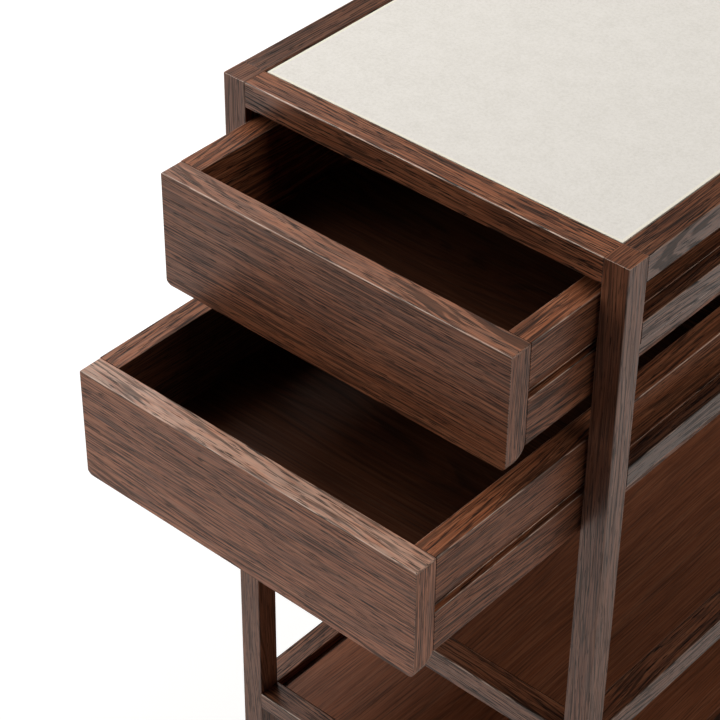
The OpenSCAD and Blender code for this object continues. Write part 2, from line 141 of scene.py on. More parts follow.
# A material's nodes, made one call at a time.
class Tree:
    def __init__(self, name):
        self.material = bpy.data.materials.new(name)
        self.material.use_nodes = True
        self.nodes = self.material.node_tree.nodes
        self.links = self.material.node_tree.links
        self.nodes.clear()

    def node(self, kind, settings=None, inputs=None, output=0):
        new = self.nodes.new(kind)
        for key, value in (settings or {}).items():
            setattr(new, key, value)
        for key, value in (inputs or {}).items():
            if isinstance(value, Wire):
                self.links.new(value.socket, new.inputs[key])
            else:
                new.inputs[key].default_value = value
        return Wire(self, new.outputs[output])

    def vector(self, x, y, z):
        return self.node("ShaderNodeCombineXYZ", {}, {0: x, 1: y, 2: z})

    # Object coordinates in mm.
    def place(self):
        return self.node("ShaderNodeTexCoord", output="Object") * perMetre

    def facing(self):
        return self.node("ShaderNodeTexCoord", output="Normal")

    def attribute(self, name, output="Vector"):
        return self.node("ShaderNodeAttribute", {"attribute_name": name}, output=output)

    def noise(self, vector, scale, detail, roughness):
        return self.node("ShaderNodeTexNoise", {},
                         {"Vector": vector, "Scale": scale, "Detail": detail, "Roughness": roughness})

    # Two colours, given as (r, g, b) or wires, mixed by a factor.
    def mix(self, factor, first, second, blend="MIX"):
        new = self.nodes.new("ShaderNodeMix")
        new.data_type = "RGBA"
        new.blend_type = blend
        new.clamp_factor = True
        for key, value in ((0, factor), (6, first), (7, second)):
            if isinstance(value, Wire):
                self.links.new(value.socket, new.inputs[key])
            else:
                new.inputs[key].default_value = (*value, 1.0) if key else value
        return Wire(self, new.outputs[2])

    def bump(self, height, distance, strength):
        return self.node("ShaderNodeBump", {}, {"Height": height, "Distance": distance, "Strength": strength})

    def show(self, shader):
        out = self.nodes.new("ShaderNodeOutputMaterial")
        self.links.new(shader.socket, out.inputs["Surface"])
        return self.material

    # A Principled surface: constants are set on it, what varies is linked.
    def surface(self, constants, varying):
        return self.show(self.node("ShaderNodeBsdfPrincipled", {}, {**constants, **varying}))


# oak

oak = {
    "base": (0.180, 0.056, 0.023),
    "dark": (0.046, 0.018, 0.009),      # the early part of a ring
    "pale": (0.290, 0.118, 0.058),
    "pore": (0.009, 0.006, 0.005),
    # painted shade: the dark colour of sheltered arrises and of the eased face over a drawer's groove
    "paintedShade": (0.085, 0.026, 0.011),
    "wear": (0.680, 0.500, 0.400),      # rubbed edges, pale as wear and as a painted highlight
    "ringWidth": 2.9,                   # mm from one growth ring to the next
    "taper": 0.025,                     # growth of the rings' radius along the log
    "swayBy": 18.0,                     # mm that two of the noises bend the rings by
    "rippleBy": 1.5,
    "weakest": 0.1,                     # least strength of a ring
    "lineEarly": 0.06,                  # what the dark part of a ring adds to the lines' noise
    "poreEarly": 0.12,
    # of each noise's marks: length along the grain and width across it in mm, detail, and a shift
    # that sets noises of like size apart
    "marks": {
        "sway": (260.0, 70.0, 1.0, 0.0),
        "ripple": (60.0, 8.0, 2.0, 0.0),
        "ring": (260.0, 14.0, 1.0, 7.0),
        "fibre": (60.0, 1.45, 1.0, 0.0),
        "streak": (130.0, 3.2, 2.0, 3.0),
        "flame": (170.0, 10.0, 2.0, 5.0),
        "line": (90.0, 1.35, 1.0, 11.0),
        "pore": (20.0, 1.05, 1.0, 13.0),
        "rubAndPaintedLight": (30.0, 6.0, 2.0, 17.0),
    },
    "layers": 0.55,                     # how much a noise's finer layers count
    "lineLayers": 0.5,
    # the value at which each mask begins and the one at which it is full; rise and fall are shares
    # of a ring, and wear and painted shade are values of the wear attribute
    "limit": {
        "rise": (0.0, 0.12),
        "fall": (0.50, 0.25),
        "ring": (0.36, 0.64),
        "paleFibre": (0.52, 0.60),
        "darkFibre": (0.48, 0.40),
        "streak": (0.50, 0.68),
        "flame": (0.44, 0.28),
        "line": (0.530, 0.610),
        "pore": (0.600, 0.700),
        "rubAndPaintedLight": (0.30, 0.60),
        "wear": (0.0, 0.1),
        "paintedShade": (0.0, -1.0),
        "veneer": (0.80, 0.92),
    },
    # how far each mark takes the colour to its own; a line is a shallower hollow than a pore
    "amount": {
        "early": 0.50,
        "paleFibre": 0.45,
        "darkFibre": 0.55,
        "streak": 0.30,
        "paintedShade": 0.75,
        "line": 0.70,
        "hollow": 0.80,
    },
    # how hollows and painted shade dull the coat, and how streaks and rubbing change it
    "gloss": {"hollow": 0.6, "paintedShade": 0.9, "streak": 0.5, "rubAndPaintedLight": 0.35},
    "relief": {"fibre": 0.15, "streak": 0.10},    # heights, where a hollow is 1 deep
    "leastRubAndHighlight": 0.45,                   # of a rubbed edge's pale wear and highlight, where its noise is low
    "veneer": (900.0, 95.0, 12.0),      # mm along, across and in depth where veneers were cut
    "poreDepth": 0.00013,               # metres
    "bump": 0.8,
    "roughness": 0.55,
    "unevenness": 0.2,                  # of the roughness
    "specular": 0.12,
    "coatRoughness": 0.33,
}
# each oak's coat, the strength of its flames, and that of its fibres, lines and pores
oakFinish = {
    "frame": {"coat": 0.85, "figure": 0.50, "fine": 1.3},
    "post": {"coat": 0.80, "figure": 0.25, "fine": 1.0, "faced": (2, 1)},     # tops grained along Y
    "front": {"coat": 0.65, "figure": 0.45, "fine": 1.1, "faced": (0, 2)},    # ends grained upwards
    "drawer": {"coat": 0.34, "figure": 0.60, "fine": 1.15},
    "shelf": {"coat": 0.30, "figure": 0.40, "fine": 0.4},
    "inside": {"coat": 0.15, "figure": 0.40, "fine": 0.4},
}


# Rings are circles round the heart of one log, bent by two noises; each turns dark at its start and
# is back at the base tone by its middle. Fibres, streaks, flames and pores are noises drawn out
# along the grain, and lines are one drawn out along the rings. A pore opens where its noise passes
# a limit, which is lower in the dark part of a ring. A piece's attributes say where in the log it
# was sawn, where its edges are rubbed pale, as wear and as a painted highlight, or, under zero, are
# painted dark and dull as shade, and how dark it is as a whole: its own tone, and on drawer insides,
# bottoms, cleats and the mid shelf painted shade as well. Faced gives the normal's axis of faces
# that are veneered, and the axis of their grain.
def makeOak(name, values, coat, figure, fine, faced=None):
    tree = Tree(name)
    limit, amount = values["limit"], values["amount"]
    sawn = (tree.attribute("sawn") * perMetre).axes()
    if faced:
        normalAxis, grainAxis = faced
        place = tree.place().axes()
        veneer = tree.facing().axes()[normalAxis].only("ABSOLUTE").step(*limit["veneer"])
        spots = (place[grainAxis], place[3 - normalAxis - grainAxis], 0.0)
        targets = [spot + offset for spot, offset in zip(spots, values["veneer"])]
        sawn = tuple(spot + veneer * (target - spot) for spot, target in zip(sawn, targets))
    along, across, depth = sawn

    def drawn(mark):
        length, width, detail, shift = values["marks"][mark]
        vector = tree.vector(along / length + shift, across / width, depth / width)
        return tree.noise(vector, 1.0, detail, values["layers"])

    sway = drawn("sway")
    ripple = drawn("ripple")
    radius = (across * across + depth * depth).only("SQRT") + along * values["taper"]
    radius = radius + (sway - 0.5) * values["swayBy"] + (ripple - 0.5) * values["rippleBy"]
    ring = (radius / values["ringWidth"]).only("FRACT")
    strength = drawn("ring").step(*limit["ring"], values["weakest"], 1.0)
    early = ring.step(*limit["rise"]) * ring.step(*limit["fall"]) * strength
    fibre = drawn("fibre")
    streak = drawn("streak")
    flame = drawn("flame")
    length, width, detail, shift = values["marks"]["line"]
    thread = tree.vector(along / length, radius / width, shift)
    thread = tree.noise(thread, 1.0, detail, values["lineLayers"])
    line = (thread + early * values["lineEarly"]).step(*limit["line"])
    pore = (drawn("pore") + early * values["poreEarly"]).step(*limit["pore"])
    hollow = (line * amount["line"] + pore - line * pore * amount["line"]) * fine
    colour = tree.mix(early * amount["early"], values["base"], values["dark"])
    colour = tree.mix(fibre.step(*limit["paleFibre"]) * (amount["paleFibre"] * fine), colour, values["pale"])
    colour = tree.mix(fibre.step(*limit["darkFibre"]) * (amount["darkFibre"] * fine), colour, values["dark"])
    colour = tree.mix(streak.step(*limit["streak"]) * amount["streak"], colour, values["pale"])
    colour = tree.mix(flame.step(*limit["flame"]) * figure, colour, values["dark"])
    shade = tree.attribute("shade", "Fac")
    colour = tree.mix(1.0, colour, tree.vector(shade, shade, shade), "MULTIPLY")
    # wear over zero is rubbing with a painted highlight, under zero painted shade
    wear = tree.attribute("wear", "Fac")
    wearAndPaintedLight = wear.only("ABSOLUTE") * drawn("rubAndPaintedLight").step(*limit["rubAndPaintedLight"], values["leastRubAndHighlight"], 1.0)
    wearAndPaintedLight = wearAndPaintedLight * wear.step(*limit["wear"])
    paintedShadeMask = wear.step(*limit["paintedShade"])
    colour = tree.mix(wearAndPaintedLight, colour, values["wear"])
    colour = tree.mix(paintedShadeMask * amount["paintedShade"], colour, values["paintedShade"])
    colour = tree.mix(hollow * amount["hollow"], colour, values["pore"])
    gloss, relief = values["gloss"], values["relief"]
    sheen = (1.0 - hollow * gloss["hollow"]) * (coat + (streak - 0.5) * gloss["streak"])
    sheen = sheen * (1.0 - paintedShadeMask * gloss["paintedShade"])
    height = fibre * relief["fibre"] + streak * relief["streak"] - hollow
    constants = {"Specular IOR Level": values["specular"], "Coat Roughness": values["coatRoughness"]}
    return tree.surface(constants, {
        "Base Color": colour,
        "Roughness": values["roughness"] + (fibre - 0.5) * values["unevenness"],
        "Coat Weight": sheen + wearAndPaintedLight * gloss["rubAndPaintedLight"],
        "Normal": tree.bump(height, values["poreDepth"], values["bump"]),
    })


# top panel

topFinish = {
    "face": (0.875, 0.855, 0.825),
    "fleck": (0.730, 0.710, 0.672),
    "edge": (0.940, 0.905, 0.790),
    "rim": 3.4,                # mm of creamier edge round the face
    "rimBlur": 0.6,
    "rimAmount": 0.9,
    # scale per mm, detail and roughness of the noises, and what each adds to the shade
    "cloud": (0.035, 4.0, 0.6),
    "mottle": (0.36, 3.0, 0.65),
    "grit": (1.5, 2.0, 0.7),
    "share": {"cloud": 0.9, "mottle": 2.2, "grit": 1.6},
    "contrast": 0.6,
    "flecked": 0.40,           # where the middle tone lies between the face's 0 and the fleck's 1
    "relief": {"mottle": 0.6, "grit": 0.4},
    "depth": 0.00006,          # metres
    "bump": 0.6,
    "roughness": 0.62,
    "unevenness": 0.16,
    "specular": 0.4,
}


# A pale face with cloudy mottling and fine flecks, and a creamier rim: the rim's mask rises where
# the lesser distance to the panel's sides falls under the rim's width.
def makeTop(values):
    tree = Tree("paleTop")
    place = tree.place()
    cloud = tree.noise(place, *values["cloud"])
    mottle = tree.noise(place, *values["mottle"])
    grit = tree.noise(place, *values["grit"])
    low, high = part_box("top_panel")
    fromEdge = []
    for axis in (0, 1):
        middle = 0.5 * (low[axis] + high[axis]) / mm
        half = 0.5 * (high[axis] - low[axis]) / mm
        fromEdge.append(half - (place.axes()[axis] - middle).only("ABSOLUTE"))
    distance = tree.node("ShaderNodeMath", {"operation": "MINIMUM"}, {0: fromEdge[0], 1: fromEdge[1]})
    rim = distance.step(values["rim"] + values["rimBlur"], values["rim"] - values["rimBlur"])
    share, relief = values["share"], values["relief"]
    shade = (cloud - 0.5) * share["cloud"] + (mottle - 0.5) * share["mottle"] + (grit - 0.5) * share["grit"]
    flecks = (shade * values["contrast"] + values["flecked"]).step(0.0, 1.0)
    colour = tree.mix(flecks, values["face"], values["fleck"])
    colour = tree.mix(rim * values["rimAmount"], colour, values["edge"])
    height = mottle * relief["mottle"] + grit * relief["grit"]
    return tree.surface({"Specular IOR Level": values["specular"]}, {
        "Base Color": colour,
        "Roughness": values["roughness"] + (mottle - 0.5) * values["unevenness"],
        "Normal": tree.bump(height, values["depth"], values["bump"]),
    })


# castor finishes

metalFinish = {
    "paint": (0.030, 0.026, 0.022),
    "worn": (0.110, 0.092, 0.070),
    # scale per mm, detail and roughness of the noises
    "peel": (1.6, 2.0, 0.6),
    "cloud": (0.22, 3.0, 0.6),
    "share": {"cloud": 0.6, "peel": 0.5},    # of the noise that wears the paint
    "wear": (0.60, 0.72),
    "wearAmount": 0.6,
    "metallic": (0.55, 0.35),      # of sound paint, and what wear adds
    "roughness": (0.36, 0.08),
    "unevenness": 0.16,
    "depth": 0.00005,              # metres
    "bump": 0.5,
    "specular": 0.5,
}
rubberFinish = {
    "hub": (0.022, 0.021, 0.020),
    "tyre": (0.030, 0.029, 0.028),
    "roughness": {"hub": 0.48, "tyre": 0.70},
    "dust": (0.18, 3.0, 0.6),
    "grain": (3.0, 2.0, 0.6),
    "dusty": (2.6, 0.02),          # what dust multiplies the colour by, and what it adds
    "dustLimit": (0.48, 0.75),
    "dustAmount": 0.5,
    "unevenness": 0.2,
    "depth": 0.00004,              # metres
    "bump": 0.6,
    "specular": 0.4,
}


# Dark paint that a cloudy noise wears through to the metal, with a fine orange peel.
def makeCastorMetal(values):
    tree = Tree("castorMetal")
    place = tree.place()
    peel = tree.noise(place, *values["peel"])
    share = values["share"]
    wear = tree.noise(place, *values["cloud"]) * share["cloud"] + peel * share["peel"]
    wear = wear.step(*values["wear"])
    metallic, metallicWorn = values["metallic"]
    roughness, roughnessWorn = values["roughness"]
    return tree.surface({"Specular IOR Level": values["specular"]}, {
        "Base Color": tree.mix(wear * values["wearAmount"], values["paint"], values["worn"]),
        "Metallic": metallic + wear * metallicWorn,
        "Roughness": roughness + (peel - 0.5) * values["unevenness"] + wear * roughnessWorn,
        "Normal": tree.bump(peel, values["depth"], values["bump"]),
    })


# A dark colour that dust lightens where a slow noise is high, with a fine grain.
def makeRubber(name, values, part):
    tree = Tree(name)
    place = tree.place()
    dust = tree.noise(place, *values["dust"])
    grain = tree.noise(place, *values["grain"])
    times, more = values["dusty"]
    dusty = tuple(c * times + more for c in values[part])
    covered = dust.step(*values["dustLimit"]) * values["dustAmount"]
    return tree.surface({"Specular IOR Level": values["specular"]}, {
        "Base Color": tree.mix(covered, values[part], dusty),
        "Roughness": values["roughness"][part] + (grain - 0.5) * values["unevenness"],
        "Normal": tree.bump(grain, values["depth"], values["bump"]),
    })


oakFrame = makeOak("smokedOakFrame", oak, **oakFinish["frame"])
oakPost = makeOak("smokedOakPost", oak, **oakFinish["post"])
oakFront = makeOak("smokedOakFront", oak, **oakFinish["front"])
oakDrawer = makeOak("smokedOakDrawer", oak, **oakFinish["drawer"])
oakShelf = makeOak("smokedOakShelf", oak, **oakFinish["shelf"])
oakInside = makeOak("smokedOakInside", oak, **oakFinish["inside"])
paleTop = makeTop(topFinish)
castorMetal = makeCastorMetal(metalFinish)
hubPlastic = makeRubber("castorHub", rubberFinish, "hub")
tyreRubber = makeRubber("castorTyre", rubberFinish, "tyre")
print("materials: %d" % len(bpy.data.materials))


# sections and sweeps

# how rubbed an arris is: over zero it is pale, as wear and a painted highlight; under zero it is painted
# shade, dark and dull
rubAndPaintedLight = {
    "bright": 1.0,
    "soft": 0.35,
    "faint": 0.12,
    # painted shade on sheltered arrises, dark and dull
    "dark": -0.8,
    "fade": 0.8 * mm,      # how far the tone runs on past the rounding
    "fadeLimit": 0.4,      # the most that it takes of the flat beside the rounding
    "share": 0.2,          # its strength where the rounding ends
}
bright, soft, faint, dark = (rubAndPaintedLight[name] for name in ("bright", "soft", "faint", "dark"))


# Corners (x, y, radius, rub), anticlockwise, each swapped for an arc that touches both its sides,
# with one more point on each side of it where the rubbed tone ends. Gives the loop's points, their
# outward normals and how rubbed each one is, most at the middle of its arc; a rub over zero is wear
# and painted highlight, one under zero painted shade.
def roundedLoop(corners, steps=4):
    corner = np.array([c[:2] for c in corners], float)
    radius = np.array([c[2] for c in corners], float)
    strength = np.array([c[3] for c in corners], float)
    before = np.roll(corner, 1, 0) - corner
    after = np.roll(corner, -1, 0) - corner
    sideBefore = np.linalg.norm(before, axis=1)
    sideAfter = np.linalg.norm(after, axis=1)
    before /= sideBefore[:, None]
    after /= sideAfter[:, None]
    half = 0.5 * np.arccos(np.clip((before * after).sum(1), -1, 1))
    tangent = radius / np.tan(half)
    middle = before + after
    middle /= np.linalg.norm(middle, axis=1)[:, None]
    centre = corner + middle * (radius / np.sin(half))[:, None]
    normalIn = np.stack([-before[:, 1], before[:, 0]], 1)
    normalOut = np.stack([after[:, 1], -after[:, 0]], 1)
    start = np.arctan2(normalIn[:, 1], normalIn[:, 0])
    turn = np.arctan2(normalOut[:, 1], normalOut[:, 0]) - start
    turn = (turn + np.pi) % (2 * np.pi) - np.pi
    share = np.linspace(0, 1, steps + 1)
    angle = start[:, None] + turn[:, None] * share[None, :]
    normals = np.stack([np.cos(angle), np.sin(angle)], 2)
    points = centre[:, None, :] + normals * (np.sign(turn) * radius)[:, None, None]
    wearAndPaintedLight = rubAndPaintedLight["share"] + (1 - rubAndPaintedLight["share"]) * np.sin(np.pi * share)
    wearAndPaintedLight = strength[:, None] * np.concatenate([[0.0], wearAndPaintedLight, [0.0]])[None, :]
    flatBefore = sideBefore - tangent - np.roll(tangent, 1)
    flatAfter = sideAfter - tangent - np.roll(tangent, -1)
    fadeBefore = np.minimum(rubAndPaintedLight["fade"], rubAndPaintedLight["fadeLimit"] * flatBefore)
    fadeAfter = np.minimum(rubAndPaintedLight["fade"], rubAndPaintedLight["fadeLimit"] * flatAfter)
    first = points[:, :1] + (before * fadeBefore[:, None])[:, None, :]
    last = points[:, -1:] + (after * fadeAfter[:, None])[:, None, :]
    points = np.concatenate([first, points, last], 1)
    normals = np.concatenate([normals[:, :1], normals, normals[:, -1:]], 1)
    return points.reshape(-1, 2), normals.reshape(-1, 2), wearAndPaintedLight.ravel()


# Places along a piece, how far the section is drawn in there, how far its skin leans towards the
# end, and how rubbed it is, wear and painted highlight over zero and painted shade under it: a
# quarter circle at each end. The high one is rubbed as given, by one number or by one for each of
# the section's points.
def endStations(low, high, bevel, worn=0.0, steps=3):
    angle = np.linspace(np.pi / 2, 0, steps + 1)
    rise = bevel * (1 - np.sin(angle))
    inset = bevel * (1 - np.cos(angle))
    wearAndPaintedLight = np.sin(2 * angle)[:, None] * np.atleast_1d(worn)[None, :]
    place = np.concatenate([low + rise, (high - rise)[::-1]])
    return (place, np.concatenate([inset, inset[::-1]]), np.concatenate([-angle, angle[::-1]]),
            np.concatenate([0 * wearAndPaintedLight, wearAndPaintedLight[::-1]]))


# A section carried along an axis. Its points are drawn in along their normals by each station's
# inset, and lift may move them once more, by station and point.
def sweep(name, loop, axis, stations, lift=None):
    points, normals, wearAndPaintedLight = loop
    place, inset, lean, endWearAndPaintedLight = stations
    rings = points[None] - normals[None] * inset[:, None, None]
    if lift is not None:
        rings = rings + lift(place, points)
    count, size = rings.shape[:2]
    tilt = np.broadcast_to(normals[None] * np.cos(lean)[:, None, None], rings.shape)
    spots = np.empty((count, size, 3))
    skin = np.empty((count, size, 3))
    main = "xyz".index(axis)
    first, second = [i for i in range(3) if i != main]
    for target, source, ahead in ((spots, rings, place), (skin, tilt, np.sin(lean))):
        target[:, :, main] = ahead[:, None]
        target[:, :, first] = source[:, :, 0]
        target[:, :, second] = source[:, :, 1]
    ring, point = np.meshgrid(np.arange(count - 1) * size, np.arange(size), indexing="ij")
    after = (point + 1) % size
    quads = np.stack([ring + point, ring + after, ring + size + after, ring + size + point], 2).reshape(-1, 4)
    caps = [np.arange(size)[::-1], np.arange(size) + (count - 1) * size]
    if axis == "y":
        quads = quads[:, ::-1]
        caps = [c[::-1] for c in caps]
    faces = quads.tolist() + [c.tolist() for c in caps]
    piece = meshPiece(name, spots.reshape(-1, 3), faces, skin.reshape(-1, 3))
    # each point's wear: over zero rubbing and painted highlight, under zero painted shade
    worn = np.where(np.abs(wearAndPaintedLight)[None, :] > np.abs(endWearAndPaintedLight), wearAndPaintedLight[None, :], endWearAndPaintedLight)
    worn[[0, -1]] = 0.0     # the end faces
    wear = piece.data.attributes.new("wear", "FLOAT", "POINT")
    wear.data.foreach_set("value", worn.astype(np.float32).ravel())
    return piece


def meshPiece(name, spots, faces, skin=None):
    mesh = bpy.data.meshes.new(name)
    mesh.from_pydata(spots.tolist(), [], faces)
    mesh.polygons.foreach_set("use_smooth", np.ones(len(mesh.polygons), bool))
    if skin is not None:
        length = np.linalg.norm(skin, axis=1)[:, None]
        mesh.normals_split_custom_set_from_vertices((skin / np.maximum(length, 1e-9)).tolist())
    mesh.update()
    piece = bpy.data.objects.new(name, mesh)
    bpy.context.scene.collection.objects.link(piece)
    return piece


# Writes where in the log the piece was sawn: the distance along the grain from a far start, given
# in metres, and across and in depth from the log's heart, given in mm. Shade is one number for the
# piece, or gives one for each of its points; it is the piece's tone, and on drawer insides, bottoms,
# cleats and the mid shelf painted shade as well.
def sawFrom(piece, grain, heart, shade):
    count = len(piece.data.vertices)
    spots = np.empty(count * 3)
    piece.data.vertices.foreach_get("co", spots)
    spots = spots.reshape(-1, 3)
    middle = (spots.min(0) + spots.max(0)) / 2
    main = "xyz".index(grain)
    first, second = [i for i in range(3) if i != main]
    sawn = (spots - middle)[:, [main, first, second]] + np.array([heart[0], heart[1] * mm, heart[2] * mm])
    layer = piece.data.attributes.new("sawn", "FLOAT_VECTOR", "POINT")
    layer.data.foreach_set("vector", sawn.astype(np.float32).ravel())
    shades = shade(spots) if callable(shade) else np.full(count, shade)
    layer = piece.data.attributes.new("shade", "FLOAT", "POINT")
    layer.data.foreach_set("value", shades.astype(np.float32))


def finishPiece(piece, body, material, slot, *nodes):
    piece.data.materials.clear()
    piece.data.materials.append(material)
    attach(piece, body)
    if nodes:
        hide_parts(*nodes)


# Rubs, which are wear and painted light on the arrises, go round the corners as the points do: two
# below, then two above from high to low.
def rectangle(low, high, bevel, edgeWearAndLight):
    spots = [(low[0], low[1]), (high[0], low[1]), (high[0], high[1]), (low[0], high[1])]
    return [(x, y, bevel, wearAndPaintedLight) for (x, y), wearAndPaintedLight in zip(spots, edgeWearAndLight)]


def span(node):
    low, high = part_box(node)
    return np.array(low), np.array(high)


# A board between two corners: a section with rounded edges carried along its grain. Worn gives how
# rubbed the high end's arrises are, by the section's normals: pale as wear and painted highlight
# over zero, dark as painted shade under it.
def boardPiece(name, low, high, grain, edge, end, heart, shade, body, material, slot, *nodes,
               edgeWearAndLight=(faint,) * 4, worn=None):
    main = "xyz".index(grain)
    across = [i for i in range(3) if i != main]
    loop = roundedLoop(rectangle(np.array(low)[across], np.array(high)[across], edge, edgeWearAndLight))
    stations = endStations(low[main], high[main], end, worn(loop[1]) if worn else 0.0)
    piece = sweep(name, loop, grain, stations)
    sawFrom(piece, grain, heart, shade)
    finishPiece(piece, body, material, slot, *nodes)


# frame timbers

timber = {
    "edge": 1.1 * mm,      # rounding of the long edges
    "end": 0.35 * mm,      # rounding where a rail butts against a post
    "postEnd": 0.45 * mm,
    "outward": 0.7,        # least outward part of a pale arris's normals; an outer corner's is 0.707
    "shade": 1.0,
    "runnerShade": 0.8,
    # timbers that are paler, over 1, or darker than the rest
    "tones": {
        "top_front_rail": 1.45,
        "top_left_rail": 0.75,
        "top_right_rail": 0.75,
        "mid_right_rail": 0.9,
        "upper_left_lath": 0.85,
        "upper_right_lath": 0.85,
        "lower_left_lath": 0.5,
        "lower_right_lath": 0.5,
    },
}
# where pieces are sawn: along the log in metres, across and in depth from its heart in mm
log = {
    "seed": 27,
    "low": (0.5, 50.0, 50.0),
    "high": (40.0, 100.0, 100.0),
    "places": 60,
}
logSpots = iter(np.random.default_rng(log["seed"]).uniform(log["low"], log["high"], (log["places"], 3)))


def nextSpot():
    return tuple(next(logSpots))


def toneOf(node):
    return timber["tones"].get(node, timber["shade"])


# A post's top has arrises pale outside, as wear and a painted highlight, and painted dark with
# shade where the rails meet it.
postLow = {}
postHigh = {}
outwards = {"front_left": (-1, -1), "front_right": (1, -1), "rear_left": (-1, 1), "rear_right": (1, 1)}
for corner, outward in outwards.items():
    node = corner + "_post"
    postLow[corner], postHigh[corner] = span(node)
    boardPiece("post." + corner, postLow[corner], postHigh[corner], "z", timber["edge"], timber["postEnd"],
               nextSpot(), timber["shade"], "carcass", oakPost, "oak_frame", node,
               worn=lambda normals: np.where((normals * outward).max(1) > timber["outward"], bright, dark))

innerLow = postHigh["front_left"]      # the corner of the opening between the posts
innerHigh = postLow["rear_right"]


# The top side rails are sawn so that their grain runs on over the posts' veneered tops. A front or
# rear rail's upper outer arris is pale as wear and painted highlight, and the inner one is painted
# dark with shade where it meets the panel.
def railPiece(node, side):
    grain = "x" if side in ("front", "rear") else "y"
    low, high = span(node)
    main = "xyz".index(grain)
    low[main], high[main] = innerLow[main], innerHigh[main]
    spot = nextSpot()
    if node in ("top_left_rail", "top_right_rail"):
        along, across, depth = oak["veneer"]
        spot = (along * mm, across + (low[0] + high[0]) / 2 / mm, depth - (high[2] - low[2]) / 2 / mm)
    upper = [dark if node.startswith("top") else faint, bright if grain == "x" else soft]
    if side in ("rear", "right"):
        upper.reverse()
    boardPiece("rail." + node, low, high, grain, timber["edge"], timber["end"], spot, toneOf(node),
               "carcass", oakFrame, "oak_frame", node, edgeWearAndLight=[faint, faint, *upper])


for level in ("top", "mid", "low"):
    for side in ("front", "rear", "left", "right"):
        railPiece("%s_%s_rail" % (level, side), side)
for level in ("upper", "lower"):
    railPiece(level + "_rear_lath", "rear")


# laths and runners

lath = {
    "faceHeight": 24.0 * mm,
    "lipRecess": 2.0 * mm,
    "joint": 0.6 * mm,          # open joint between a lath's face and the posts
    "edge": 0.9 * mm,
    "innerEdge": 0.3 * mm,
}
runner = {
    "webThickness": 12.0 * mm,
    "tongueHeight": 7.9 * mm,
    "edge": 0.5 * mm,
    "innerEdge": 0.2 * mm,
}


# The box of a node at the left or right, the sign of its side along X, and where its outer and its
# inner face are.
def sideSpan(node, side):
    low, high = span(node)
    if side == "right":
        return low, high, 1, high[0], low[0]
    return low, high, -1, low[0], high[0]


# A section that is given for the right side of the trolley, outer face first; the left side's is
# its mirror image, turned round so that it stays anticlockwise.
def sidePiece(name, sign, section, y0, y1, end, shade, body, material, slot, *nodes):
    section = section if sign > 0 else section[::-1]
    piece = sweep(name, roundedLoop(section), "y", endStations(y0, y1, end))
    sawFrom(piece, "y", nextSpot(), shade)
    finishPiece(piece, body, material, slot, *nodes)


# A lath's face and, where the node reaches lower, the lip that is set back under it.
def lathPieces(level, side):
    node = "%s_%s_lath" % (level, side)
    low, high, sign, outer, inner = sideSpan(node, side)
    edge, sharp = lath["edge"], lath["innerEdge"]
    faceLow = high[2] - lath["faceHeight"]
    # the face's lower outer arris is pale as wear and painted highlight
    section = [(outer, faceLow, edge, bright), (outer, high[2], edge, soft), (inner, high[2], sharp, faint),
               (inner, faceLow, sharp, faint)]
    sidePiece("lath." + node, sign, section, innerLow[1] + lath["joint"], innerHigh[1] - lath["joint"],
              timber["end"], toneOf(node), "carcass", oakFrame, "oak_frame", node)
    if low[2] < faceLow - edge:
        lip = outer - sign * lath["lipRecess"]
        section = [(lip, low[2], sharp, soft), (lip, faceLow, sharp, faint), (inner, faceLow, sharp, faint),
                   (inner, low[2], sharp, faint)]
        sidePiece("lip." + node, sign, section, innerLow[1], innerHigh[1],
                  timber["end"], toneOf(node), "carcass", oakFrame, "oak_frame", node)


# A web beside the lath, with a tongue at its foot that stands in the drawer's groove.
def runnerPiece(level, side):
    node = "%s_%s_runner" % (level, side)
    low, high, sign, outer, inner = sideSpan(node, side)
    edge, sharp = runner["edge"], runner["innerEdge"]
    web = outer - sign * runner["webThickness"]
    top = low[2] + runner["tongueHeight"]
    section = [(outer, low[2], edge, faint), (outer, high[2], edge, faint), (web, high[2], edge, soft),
               (web, top, sharp, faint), (inner, top, edge, soft), (inner, low[2], edge, faint)]
    sidePiece("runner." + node, sign, section, low[1], high[1],
              timber["end"], timber["runnerShade"], "carcass", oakFrame, "oak_frame", node)


for level in ("upper", "lower"):
    for side in ("left", "right"):
        lathPieces(level, side)
        runnerPiece(level, side)


# boards

boards = {
    "edge": 0.35 * mm,
    "panelEdge": 0.35 * mm,
    "panelGap": 0.4 * mm,        # wider shadow joint round the panel
    "heart": (12.0, 95.0),       # a shelf board's place across and in depth
    # the mid shelf is darker as its tone and as painted shade for the shadow under the drawers
    "midShade": 0.78,
    "lowShade": 1.1,
    # painted shade: the cleats are darkened so the slots beside the shelf boards look shadowed
    "cleatPaintedShade": 0.6,
    "cleatWidth": 12.0 * mm,
    "lowCleatWidth": 26.0 * mm,
    "cleatGap": 0.4 * mm,
}

for level, material in (("mid", oakInside), ("low", oakShelf)):
    node = level + "_shelf_board"
    low, high = span(node)
    spot = (nextSpot()[0], *boards["heart"])
    boardPiece("board." + node, low, high, "y", boards["edge"], boards["edge"], spot, boards[level + "Shade"],
               "carcass", material, "oak_board", node)

low, high = span("top_panel")
low[:2] += boards["panelGap"]
high[:2] -= boards["panelGap"]
section = rectangle(low[[0, 2]], high[[0, 2]], boards["panelEdge"], [0.0] * 4)
panel = sweep("panel.top", roundedLoop(section), "y", endStations(low[1], high[1], boards["panelEdge"]))
finishPiece(panel, "carcass", paleTop, "top_laminate", "top_panel")


